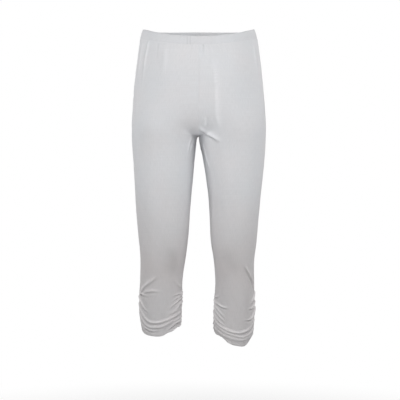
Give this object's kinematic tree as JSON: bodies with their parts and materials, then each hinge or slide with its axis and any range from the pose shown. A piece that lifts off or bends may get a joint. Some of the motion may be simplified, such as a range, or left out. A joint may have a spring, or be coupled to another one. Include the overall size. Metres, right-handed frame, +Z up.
{
  "type": "cropped leggings",
  "caption": "Calf-length stretch jersey leggings with an elastic waistband, hollow as worn, with ruched side seams and inseams above each hem.",
  "frame": {"origin": "centre of the waist opening, level with its edge at the side seams, where the wearer's waist holds the garment", "axes": "+Z up towards the waist, -Y the front, +X the wearer's left"},
  "size_m": [0.348, 0.2498, 0.82],
  "materials": {
    "jersey": "cool white single jersey with elastane, matt with a soft sheen",
    "waistband": "the same jersey, folded over elastic"
  },
  "bodies": {
    "root": {"waistband": "waistband", "front_left": "jersey", "front_right": "jersey", "back_left": "jersey", "back_right": "jersey"}
  },
  "joints": []
}
